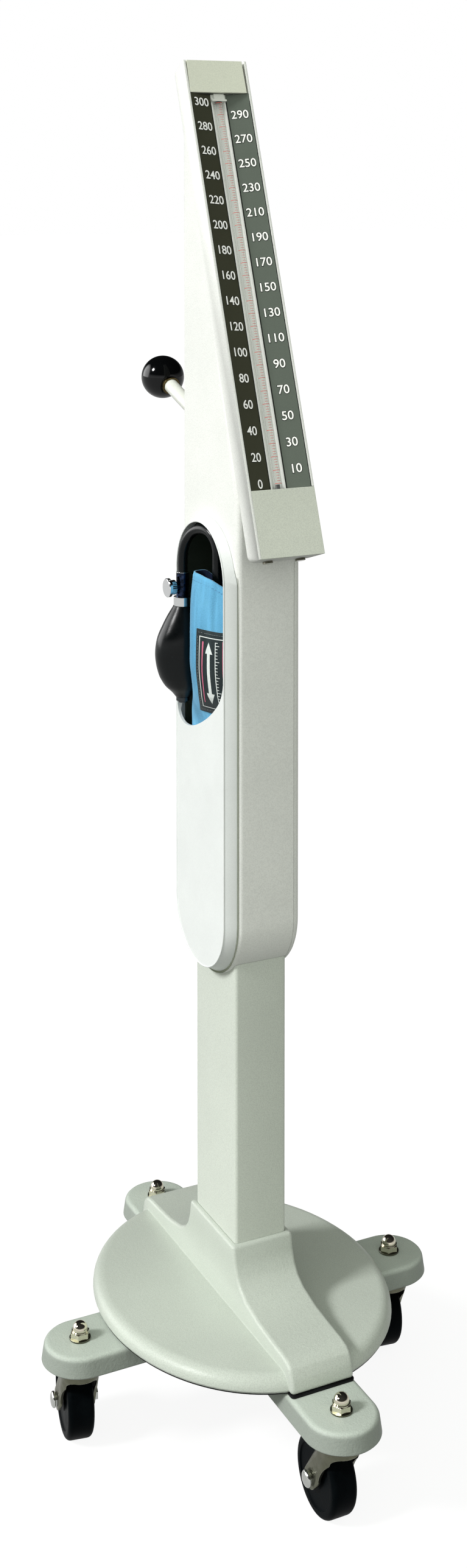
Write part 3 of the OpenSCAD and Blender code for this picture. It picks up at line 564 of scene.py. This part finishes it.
def cuff_top(phi):
    """The cloth's upper edge: its outer turn sinks at the right of the mouth, its inner turn all round."""
    for (a, low), (b, high) in zip(CUFF_DROPS, CUFF_DROPS[1:]):
        if phi <= b:
            t = max(0, (phi - a) / (b - a))
            return CUFF_HIGH - low - (high - low) * t * t * (3 - 2 * t)


def both_faces(rows):
    """Steps up a sheet's outside, then down its inside: whether inside, and the share of its height."""
    return [(False, k / rows) for k in range(rows + 1)] + [(True, 1 - k / rows) for k in range(rows + 1)]


def cuff_ring(phi):
    """Round the cloth's edge at one angle of the roll, with its rounded hems, seams and soft waves."""
    ring = []
    for inside, t in both_faces(STEPS_UP):
        z = CUFF_LOW + (cuff_top(phi) - CUFF_LOW) * t
        edge = min(t, 1 - t) * (CUFF_HIGH - CUFF_LOW)
        thick = CLOTH * (0.45 + 0.4 * min(1, edge / 2.5) ** 0.5 - 0.12 * math.exp(-((edge - HEM) / 0.8) ** 2))
        wave = noise.noise(Vector((phi * 0.02, z * 0.05, 3))) * 0.45
        wave += noise.noise(Vector((phi * 0.09, z * 0.02, 8))) * 0.15
        sag = -1.2 * max(0, t - 0.9) / 0.1 * noise.noise(Vector((phi * 0.013, 1.5, 0)))
        face = thick / 2 if inside else -thick / 2
        point = cuff_point(z, phi, roll_depth(phi) + CLOTH / 2 + face + wave * min(1, edge / 4))
        ring.append(point + Vector((0, 0, sag)))
    return ring


def cuff_length(depth=1.5, steps=220, rows=20):
    """The rolled cloth's flat length in metres: its area, measured along its middle, over its full height."""
    def at(i, k):
        phi = roll_phi(i, steps)
        return cuff_point(CUFF_LOW + (cuff_top(phi) - CUFF_LOW) * k / rows, phi, roll_depth(phi) + depth) * MM
    area = 0
    for i in range(steps):
        for k in range(rows):
            a, b, c, d = at(i, k), at(i + 1, k), at(i + 1, k + 1), at(i, k + 1)
            area += ((b - a).cross(c - a).length + (c - a).cross(d - a).length) / 2
    return area / ((CUFF_HIGH - CUFF_LOW) * MM)


cuff_rings = [cuff_ring(roll_phi(i, STEPS_ROUND)) for i in range(STEPS_ROUND + 1)]
inner_face = [1 if STEPS_UP + 1 <= k <= 2 * STEPS_UP else 0 for k in range(2 * STEPS_UP + 2)]
cuff = piece("cuff_roll", loft("cuff_roll", cuff_rings, inner_face), "cuff_cloth", cuff_fabric, cuff_back)
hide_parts("cuff")


def stitches(name, spots, slot, material, length=2.0, radius=0.24):
    """Short threads. Each spot is a point in mm, the way that its row runs and the way out of the cloth."""
    parts = []
    for q, along, out in spots:
        ends = [q + along * length * (t - 0.5) + out * radius * 1.6 * math.sin(math.pi * t)
                for t in (0, 0.2, 0.5, 0.8, 1)]
        parts.append(tube("stitch", ends, [radius * k for k in (0.5, 1, 1, 1, 0.5)], 6))
    return piece(name, joined(name, parts), slot, material)


def surface_spot(z, phi, lift):
    """A point on the roll's outside, the way along its turn, and the way out of it."""
    d = roll_depth(phi) - lift
    along = (cuff_point(z, phi - 0.5, d) - cuff_point(z, phi + 0.5, d)).normalized()
    up = (cuff_point(z + 0.5, phi, d) - cuff_point(z - 0.5, phi, d)).normalized()
    return cuff_point(z, phi, d), along, up.cross(along).normalized()


def turns_of(z, lift, first, last, step):
    """Angles from first down to last that stand a step apart in mm along the roll."""
    found, phi, gone, before = [], first, 0.0, cuff_point(z, first, roll_depth(first) - lift)
    while phi > last:
        if gone <= 0:
            found.append(phi)
            gone = step
        phi -= 0.1
        q = cuff_point(z, phi, roll_depth(phi) - lift)
        gone -= (q - before).length
        before = q
    return found


def cuff_hems():
    """Spots for the seams along the cuff's upper and lower edge, on the turn that can be seen."""
    spots = []
    for z, upper in ((CUFF_HIGH - HEM, True), (CUFF_LOW + HEM, False)):
        for phi in turns_of(z, -0.3, ROLL_START + 270, ROLL_START + 8, 3.2):
            spots.append(surface_spot(cuff_top(phi) - HEM if upper else z, phi, 0))
    return spots


cuff_seam = stitches("cuff_stitches", cuff_hems(), "cuff_cloth", thread)

# The label patch on the cuff, with a plain frame and range marks. Places on it are in mm, from its
# lower left corner
LABEL_LEFT, LABEL_RIGHT, LABEL_LOW, LABEL_HIGH = 377, 310, 574, 643
LABEL_STEP = 0.5
label_turns = turns_of(610, 1.0, LABEL_LEFT, LABEL_RIGHT, LABEL_STEP)
LABEL_W, LABEL_H = LABEL_STEP * (len(label_turns) - 1), LABEL_HIGH - LABEL_LOW


def lean_in(phi, t):
    """An angle on the label, moved because its left edge leans in towards the top."""
    return phi - 5 * t * (phi - LABEL_RIGHT) / (LABEL_LEFT - LABEL_RIGHT)


def label_ring(phi):
    """Round the patch's edge at one angle of the roll."""
    return [cuff_point(LABEL_LOW + (LABEL_HIGH - LABEL_LOW) * t, lean_in(phi, t),
                       roll_depth(phi) - (0.1 if inside else 0.9)) for inside, t in both_faces(24)]


def on_label(x, y, lift=1.0):
    """A point on the label."""
    i = min(max(x / LABEL_STEP, 0), len(label_turns) - 1.001)
    phi = label_turns[int(i)] + (label_turns[int(i) + 1] - label_turns[int(i)]) * (i - int(i))
    return cuff_point(LABEL_LOW + y, lean_in(phi, y / LABEL_H), roll_depth(phi) - lift)


def printed(name, strips, material):
    """Printed strips that follow the label: left, right, low and high."""
    parts = []
    for x0, x1, y0, y1 in strips:
        nx, ny = max(1, round(abs(x1 - x0) / 1.5)), max(1, round(abs(y1 - y0) / 3))
        points = [on_label(x0 + (x1 - x0) * i / nx, y0 + (y1 - y0) * j / ny, 1.04) * MM
                  for i in range(nx + 1) for j in range(ny + 1)]
        corners = [i * (ny + 1) + j for i in range(nx) for j in range(ny)]
        parts.append(mesh_of("print", points, [(k, k + ny + 1, k + ny + 2, k + 1) for k in corners]))
    return piece(name, joined(name, parts), "label_cloth", material)


def frame_lines(left=3.6, end=5.0, wide=0.7):
    """A plain frame, open at the label's right edge."""
    return [(left, left + wide, end, LABEL_H - end), (left, LABEL_W, LABEL_H - end - wide, LABEL_H - end),
            (left, LABEL_W, end, end + wide)]


def double_arrow(x=13.6, low=10, high=60, half_shaft=1.6, inset=8):
    """An upright arrow with two heads, which are stacks of strips. Its shaft stops an inset short of its tips."""
    strips = [(x - half_shaft, x + half_shaft, low + inset, high - inset)]
    for k in range(36):
        half = 0.12 + 0.118 * k
        strips.append((x - half, x + half, high - k / 4, high - k / 4 - 0.26))
        strips.append((x - half, x + half, low + k / 4, low + k / 4 + 0.26))
    return strips


def ruler(left=20.4, right=21.1, low=8, high=61, pitch=2.5):
    """An upright line with marks on its right, each fifth one longer."""
    marks = [(right, 23.0 if k % 5 else 24.6, low + pitch * k, low + 0.5 + pitch * k) for k in range(22)]
    return [(left, right, low, high)] + marks


def label_spot(x, y, ahead, i):
    """A stitch's spot on the label. ahead is the place that its row runs to, and i counts label_turns."""
    q = on_label(x, y)
    return q, (on_label(*ahead) - q).normalized(), surface_spot(LABEL_LOW + y, label_turns[i], 1)[2]


def label_hem(pitch=2.4):
    """Spots for the seam along the label's left, lower and upper edge."""
    up = [2.6 + pitch * k for k in range(int((LABEL_H - 5) / pitch))]
    along = [3 + pitch * k for k in range(int((LABEL_W - 3) / pitch))]
    return [label_spot(1.7, y, (1.7, y + 1), 4) for y in up] + [
        label_spot(x, y, (x + 1, y), int(x / LABEL_STEP)) for y in (2.4, LABEL_H - 2.4) for x in along]


label_rings = [label_ring(LABEL_LEFT + (LABEL_RIGHT - LABEL_LEFT) * i / 50) for i in range(51)]
label = piece("cuff_patch", loft("cuff_patch", label_rings), "label_cloth", label_fabric)
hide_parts("cuff_label")
label_print = printed("label_frame", frame_lines() + double_arrow() + ruler(), white_ink)
label_rose = printed("label_lines", [(6.4, 7.2, 10, 60), (27.4, 28.6, 10, 62)], rose_ink)
label_seam = stitches("label_stitches", label_hem(), "label_cloth", pale_thread, length=1.4, radius=0.2)
round(cuff_length(), 4)

# The folded end of the bladder, inside the roll under the hose, with its round port on top
BLADDER_ROWS = [  # height, half thickness, half width
    (628, 2.0, 4.6), (629.5, 2.7, 5.5), (633, 3.1, 6.0), (650, 3.0, 6.0), (664, 3.1, 5.9), (669, 3.3, 5.2),
    (672, 4.1, 4.4), (673, 4.6, 4.6), (676, 4.6, 4.6),
]
PORT_FROM, BLADDER_TURN = 671, 20


def bladder_ring(z, a, b, sides=32):
    ring = []
    for q in circle(1, 1, sides):
        u, v = (a * q.x, b * q.y) if z > PORT_FROM else (a * bent(q.x), b * bent(q.y))
        ring.append(Vector((PORT_XY.x + u * cosd(BLADDER_TURN) - v * sind(BLADDER_TURN),
                            PORT_XY.y + u * sind(BLADDER_TURN) + v * cosd(BLADDER_TURN), z)))
    return ring


bladder_rings = [bladder_ring(*q) for q in smooth_line([Vector(r) for r in BLADDER_ROWS], 3)]
bladder = piece("bladder_neck", loft("bladder_neck", bladder_rings), "seal_rubber", bladder_skin)
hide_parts("cuff_bladder")

# The squeeze bulb, round at its necks and pressed flatter where it is widest
BULB_ROWS = [  # height, radius
    (579, 5.8), (583, 9), (588, 14), (593, 17.2), (598, 19.4), (607, 21.6), (617, 22.2), (628, 20.4),
    (638, 16), (644, 12.9), (648, 10.5), (651, 8.6), (653, 7.5),
]
NECK_R, BELLY_R = 7, 22.2


def bulb_ring(r, z, sides=96):
    press = max(0, (r - NECK_R) / (BELLY_R - NECK_R))
    oval = circle(r * (1 + 0.045 * press), r * (1 - 0.235 * press), sides)
    return [Vector((VALVE_XY.x + q.x, VALVE_XY.y + q.y, z)) for q in oval]


bulb_rings = [bulb_ring(q.x, q.z) for q in smooth_line([Vector((r, 0, z)) for z, r in BULB_ROWS], 5)]
bulb = piece("squeeze_bulb", loft("squeeze_bulb", bulb_rings), "bulb_rubber", bulb_skin)
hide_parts("bulb")


# The bead on the pocket cover's rim, and a dark tube that paints the shade in the gap behind the cover
def stadium(radius, x, low=413, high=680, steps=28, straight=12):
    """Points round an upright slot outline in mm, from the back over the top to the front and below."""
    def half_turn(z, start):
        angles = [start + math.pi * k / steps for k in range(steps + 1)]
        return [Vector((x, radius * math.cos(a), z + radius * math.sin(a))) for a in angles]

    def between(a, b):
        return [a.lerp(b, k / straight) for k in range(1, straight)]
    top, foot = half_turn(high, 0), half_turn(low, math.pi)
    return top + between(top[-1], foot[0]) + foot + between(foot[-1], top[0])


def gap_size(z):
    """The shade tube's radius at a height: hair-thin at the top, and widest round the foot."""
    return 0.1 + 0.2 * min(1, max(0, (700 - z) / 80)) + 0.9 * max(0, (385 - z) / 21) ** 1.5


bead_path, gap_path = stadium(43.9, -35.9), stadium(49.3, -26.2)
bead = tube("cover_bead", bead_path, [0.6] * len(bead_path), 10, closed=True)
piece("cover_bead", bead, "cover_plastic", cover)
gap = tube("cover_gap_shade", gap_path, [gap_size(q.z) for q in gap_path], closed=True)
piece("cover_gap_shade", gap, "liner_plastic", gap_shade)

# Dark strips between the base plate and the legs, which paint the shade in the gap there
PLATE_RX, PLATE_RY, SHADE_STRIP_W = 114.6, 137.6, 6


def slab(outline, hole, z0, z1, inset=0.25):
    """A flat ring or plate in mm between two heights, with slightly rounded edges."""
    def ring(points, z, pull):
        middle = sum(points, Vector((0, 0))) / len(points)
        return [Vector((*(q - (q - middle).normalized() * pull), z)) for q in points]
    levels = [(z0, inset), (z0 + inset, 0), (z1 - inset, 0), (z1, inset)]
    rings = [ring(outline, z, pull) for z, pull in levels]
    if hole:
        rings += [ring(hole, z1, 0), ring(hole, z0, 0), rings[0]]
    return loft("seal", rings, closed_ends=not hole)


def rounded_box(half_w, y0, y1, r, steps=6):
    """Points round a rectangle with round corners, the same on both sides of the y axis."""
    right, left, top, foot = half_w - r, r - half_w, y1 - r, y0 + r
    points = []
    for cx, cy, start in ((right, top, 0), (left, top, 90), (left, foot, 180), (right, foot, 270)):
        for k in range(steps + 1):
            a = start + 90 * k / steps
            points.append(Vector((cx + r * cosd(a), cy + r * sind(a))))
    return points


gap_shade_strips = [slab(circle(PLATE_RX, PLATE_RY, 120), circle(PLATE_RX - SHADE_STRIP_W, PLATE_RY - SHADE_STRIP_W, 120), 90.2, 91.6)]
for y0, y1 in ((-141.9, -132), (132, 141.9)):
    gap_shade_strips.append(slab(rounded_box(26.8, y0, y1, 3.0), None, 90.1, 91.7))
piece("base_gap_shade", joined("base_gap_shade", gap_shade_strips), "seal_rubber", seal)

# The scale's marks and numbers, in mm: x across the head, t into it and s up its slope
LEAN = 19.7
HEAD = Vector((0, -89.5, 709))
AX, AT, AS = Vector((1, 0, 0)), Vector((0, cosd(LEAN), -sind(LEAN))), Vector((0, sind(LEAN), cosd(LEAN)))
ZERO, PER_MM_HG, FULL_SCALE = 57.0, 1.04233, 300
PANEL_OUTER, PANEL_INNER = (26.1, 0.5), (6.6, 5.5)
PANEL_LOW, PANEL_HIGH = 50.4, 371
BED_R, BED_T = 3.58, 6.3


def on_head(x, t, s):
    """A point of the head, in metres."""
    return (HEAD + AX * x + AT * t + AS * s) * MM


def sloped_panel(side):
    """A scale plate's outer and inner edge at s = 0, the way in across it, and the way out of its face."""
    outer, inner = (on_head(side * x, t, 0) for x, t in (PANEL_OUTER, PANEL_INNER))
    inwards = (inner - outer).normalized()
    return outer, inner, inwards, inwards.cross(AS).normalized() * -side


def ticks():
    """Marks across the channel's round bed, each 2 mmHg, and longer each 10."""
    points, faces = [], []
    for value in range(0, FULL_SCALE + 1, 2):
        reach, high, steps = (3.0, 0.42, 8) if value % 10 == 0 else (1.3, 0.32, 4)
        s, top, first = ZERO + value * PER_MM_HG, math.asin(reach / BED_R), len(points)
        for k in range(steps + 1):
            a = -top + 2 * top * k / steps
            for ds in (-high / 2, high / 2):
                points.append(on_head(BED_R * math.sin(a), BED_T - BED_R * math.cos(a), s + ds))
        faces += [(i, i + 2, i + 3, i + 1) for i in range(first, first + 2 * steps, 2)]
    return mesh_of("scale_ticks", points, faces)


def numbers(name, side, values, material, fatter, lift, size=9.9):
    """Numbers standing on one of the sloped plates. fatter widens their lines."""
    outer, inner, inwards, normal = sloped_panel(side)
    across = inwards * -side
    parts = []
    for value in values:
        curve = bpy.data.curves.new("n", "FONT")
        curve.body = str(value)
        curve.size = size * MM
        curve.align_x, curve.align_y = "CENTER", "CENTER"
        curve.offset = fatter * MM
        curve.extrude = 0.00008
        text = put_in_scene("n", curve)
        mesh = bpy.data.meshes.new_from_object(text.evaluated_get(bpy.context.evaluated_depsgraph_get()))
        bpy.data.objects.remove(text)
        place = Matrix((across, AS, normal)).transposed().to_4x4()
        place.translation = (outer + inner) / 2 + AS * (ZERO + value * PER_MM_HG) * MM + normal * lift * MM
        mesh.transform(place)
        parts.append(mesh)
    piece(name, joined(name, parts, smooth=False), "scale_dark", material)


def panel_lines():
    """Dark lines along both edges of each sloped plate."""
    points, faces = [], []
    for side in (-1, 1):
        outer, inner, inwards, normal = sloped_panel(side)
        for edge, wide in ((outer, 0.55), (inner - inwards * 0.85 * MM, 0.75)):
            k = len(points)
            for s in (PANEL_LOW, PANEL_HIGH):
                start = edge + AS * s * MM + normal * 0.1 * MM
                points += [start, start + inwards * wide * MM]
            faces.append((k, k + 1, k + 3, k + 2))
    return mesh_of("panel_lines", points, faces, smooth=False)


piece("scale_ticks", ticks(), "channel_white", scale_red)
for word, side, lowest in (("left", -1, 0), ("right", 1, 10)):
    values = range(lowest, FULL_SCALE + 1, 20)
    numbers("numbers_" + word, side, values, number_white_glow, fatter=0.08, lift=0.25)
    numbers("number_edges_" + word, side, values, number_black, fatter=0.42, lift=0.12)
piece("panel_lines", panel_lines(), "scale_dark", number_black)

# The floor shows as plain white to the eye and in glass and gloss, and keeps the object's shadow
FLOOR_HALF = 30
floor_corners = [(x, y, 0) for x, y in ((-1, -1), (1, -1), (1, 1), (-1, 1))]
floor_mesh = mesh_of("floor", [Vector(c) * FLOOR_HALF for c in floor_corners], [(0, 1, 2, 3)])
put_in_scene("floor", floor_mesh)
g = Graph("floor")
rays = g.new("ShaderNodeLightPath").outputs
seen = g.math("MAXIMUM", g.math("MULTIPLY", rays["Is Glossy Ray"], 0.6), rays["Is Transmission Ray"])
seen = g.math("MAXIMUM", rays["Is Camera Ray"], seen)
floor_mesh.materials.append(g.finish(Base_Color=g.mix(g.noise(3), grey(0.15), grey(0.17)), Roughness=0.9,
                                     Specular_IOR_Level=0.1, Emission_Color=WHITE,
                                     Emission_Strength=g.math("MULTIPLY", seen, 0.9)))

# The world: fill light from all round, weaker from the right and from behind. The camera sees plain
# white, and gloss shows that white round the horizon, under a darker ceiling with one soft box
world = bpy.data.worlds.new("studio")
bpy.context.scene.world = world
world.use_nodes = True
g = Nodes(world.node_tree)
way = g.new("ShaderNodeTexCoord").outputs["Generated"]
rays = g.new("ShaderNodeLightPath").outputs
level = g.math("MAXIMUM", g.math("ADD", g.dot(way, (-0.43, -0.66, 0.04)), 0.43, clamp=True), 0.16)
fill = g.mix(level, grey(0), (0.97, 1.01, 0.925, 1))
ceiling = g.math("MULTIPLY", g.ramp(g.dot(way, (0, 0, 1)), 0.06, 0.3, kind="SMOOTHSTEP"), 0.96)
side = g.math("ADD", g.dot(way, (-0.5, -0.5, 0.0)), 0.5, clamp=True)
soft_box = g.ramp(g.dot(way, Vector((-0.72, 0.66, 0.20)).normalized()), 0.86, 0.95, kind="SMOOTHSTEP")
gloss = g.mix(soft_box, g.mix(ceiling, g.mix(side, grey(0.3), WHITE), grey(0)), grey(5.0))
white = g.math("MAXIMUM", rays["Is Camera Ray"], rays["Is Transmission Ray"])
shown = g.mix(white, g.mix(rays["Is Glossy Ray"], fill, gloss), WHITE)
g.put(world.node_tree.nodes["Background"].inputs["Color"], shown)

# One broad key lamp, from the left and above
key = bpy.data.lights.new("key", "SUN")
key.energy = 2.35
key.angle = math.radians(12)
put_in_scene("key", key).rotation_euler = Vector((-0.80, 0.0, 0.60)).to_track_quat("Z", "Y").to_euler()

bpy.context.scene.view_settings.view_transform = "Standard"
